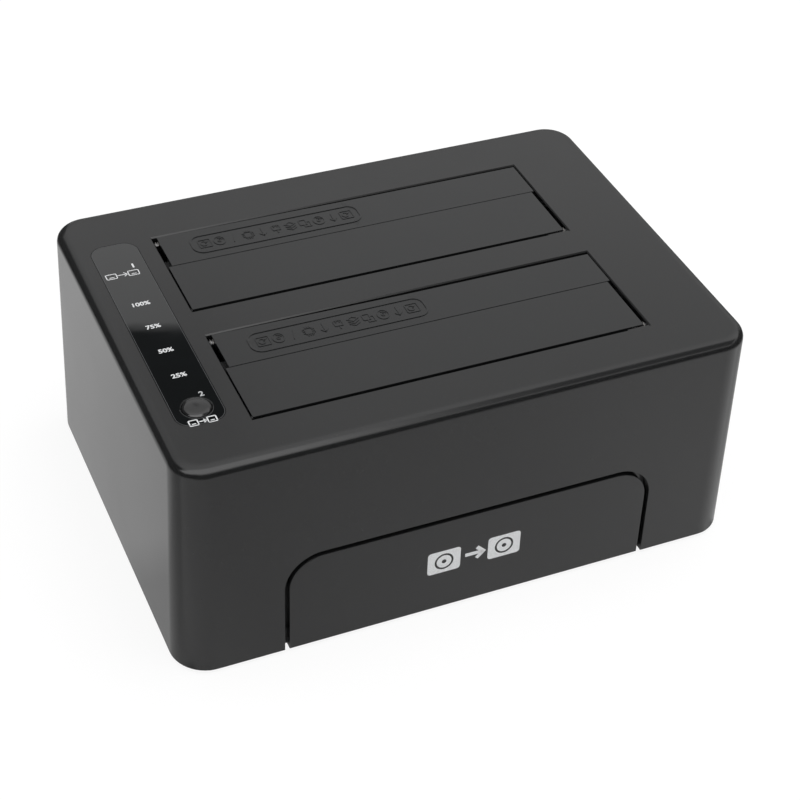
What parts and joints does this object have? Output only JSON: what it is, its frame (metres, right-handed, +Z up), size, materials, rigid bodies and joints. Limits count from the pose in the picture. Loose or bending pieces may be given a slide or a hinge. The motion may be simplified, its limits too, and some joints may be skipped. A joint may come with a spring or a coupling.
{
  "type": "drive duplicator",
  "caption": "Free-standing two-bay hard-drive dock and copier: drafted shell, paired sprung flaps over each bay, label strip with a round button, rear ports and rocker switch.",
  "frame": {"origin": "middle of the case's footprint, on the surface that the rubber feet stand on", "axes": "+X to the operator's right along the bays, +Y to the rear ports, +Z up out of the bays"},
  "size_m": [0.1536, 0.1112, 0.0654],
  "materials": {
    "case_plastic": "fine matte black moulded plastic",
    "inner_plastic": "plain black moulded plastic",
    "flap_plastic": "fine matte black moulded plastic",
    "label_gloss": "polished black, white print",
    "button_plastic": "satin black",
    "foot_rubber": "matte",
    "socket_plastic": "satin black",
    "contact_gold": "gold flash",
    "board_laminate": "green solder mask",
    "chip_plastic": "moulded epoxy",
    "can_aluminium": "bright can",
    "light_resin": "clear resin",
    "header_plastic": "natural nylon",
    "lead_jacket": "grey flat lead",
    "plated_steel": "nickel plated",
    "port_plastic": "blue insulator",
    "pin_steel": "ground steel",
    "spring_steel": "drawn wire",
    "screw_steel": "blackened steel"
  },
  "bodies": {
    "casing": {"base_tray": "case_plastic", "board_screws": "screw_steel", "bridge_chip": "chip_plastic", "case_screws": "screw_steel", "clock_crystal": "plated_steel", "front_bay_well": "inner_plastic", "front_drive_socket": "socket_plastic", "front_narrow_hinge_pin": "pin_steel", "front_narrow_spring": "spring_steel", "front_socket_contacts": "contact_gold", "front_wide_hinge_pin": "pin_steel", "front_wide_spring": "spring_steel", "label_panel": "label_gloss", "light_board": "board_laminate", "light_board_header": "header_plastic", "light_board_screws": "screw_steel", "main_board": "board_laminate", "main_board_header": "header_plastic", "memory_chip": "chip_plastic", "power_coils": "chip_plastic", "power_jack": "socket_plastic", "power_jack_pin": "plated_steel", "power_switch_body": "socket_plastic", "power_switch_legs": "plated_steel", "press_switch": "socket_plastic", "rear_bay_well": "inner_plastic", "rear_drive_socket": "socket_plastic", "rear_narrow_hinge_pin": "pin_steel", "rear_narrow_spring": "spring_steel", "rear_socket_contacts": "contact_gold", "rear_wide_hinge_pin": "pin_steel", "rear_wide_spring": "spring_steel", "ribbon_lead": "lead_jacket", "rubber_feet": "foot_rubber", "smoothing_capacitors": "can_aluminium", "status_lights": "light_resin", "top_cover": "case_plastic", "usb_port_shell": "plated_steel", "usb_port_tongues": "port_plastic", "well_screws": "screw_steel"},
    "rear_narrow_flap": {"rear_narrow_flap": "flap_plastic"},
    "rear_wide_flap": {"rear_wide_flap": "flap_plastic"},
    "front_narrow_flap": {"front_narrow_flap": "flap_plastic"},
    "front_wide_flap": {"front_wide_flap": "flap_plastic"},
    "copy_button": {"clone_button": "button_plastic", "press_switch_plunger": "button_plastic"},
    "power_rocker": {"power_switch_rocker": "button_plastic"}
  },
  "joints": [
    {"name": "rear_narrow_flap_hinge", "type": "hinge", "parent": "casing", "child": "rear_narrow_flap", "pos_m": [-0.00015, 0.03585, 0.0629], "axis": [1, 0, 0], "range_deg": [0, 90], "stiffness_Nm_per_rad": 0.004, "springref_deg": -57.3, "deforming": ["rear_narrow_spring"]},
    {"name": "rear_wide_flap_hinge", "type": "hinge", "parent": "casing", "child": "rear_wide_flap", "pos_m": [-0.00015, 0.00565, 0.0629], "axis": [-1, 0, 0], "range_deg": [0, 90], "stiffness_Nm_per_rad": 0.005, "springref_deg": -57.3, "deforming": ["rear_wide_spring"]},
    {"name": "front_narrow_flap_hinge", "type": "hinge", "parent": "casing", "child": "front_narrow_flap", "pos_m": [-0.00015, -0.0083, 0.0629], "axis": [1, 0, 0], "range_deg": [0, 90], "stiffness_Nm_per_rad": 0.004, "springref_deg": -57.3, "deforming": ["front_narrow_spring"]},
    {"name": "front_wide_flap_hinge", "type": "hinge", "parent": "casing", "child": "front_wide_flap", "pos_m": [-0.00015, -0.0385, 0.0629], "axis": [-1, 0, 0], "range_deg": [0, 90], "stiffness_Nm_per_rad": 0.005, "springref_deg": -57.3, "deforming": ["front_wide_spring"]},
    {"name": "copy_button_press", "type": "slide", "parent": "casing", "child": "copy_button", "axis": [0, 0, -1], "range_m": [0, 0.0005], "stiffness_N_per_m": 800, "springref_m": -0.001},
    {"name": "power_rocker_tip", "type": "hinge", "parent": "casing", "child": "power_rocker", "pos_m": [0.0455, 0.05255, 0.014], "axis": [0, 0, 1], "range_deg": [0, 16]}
  ]
}
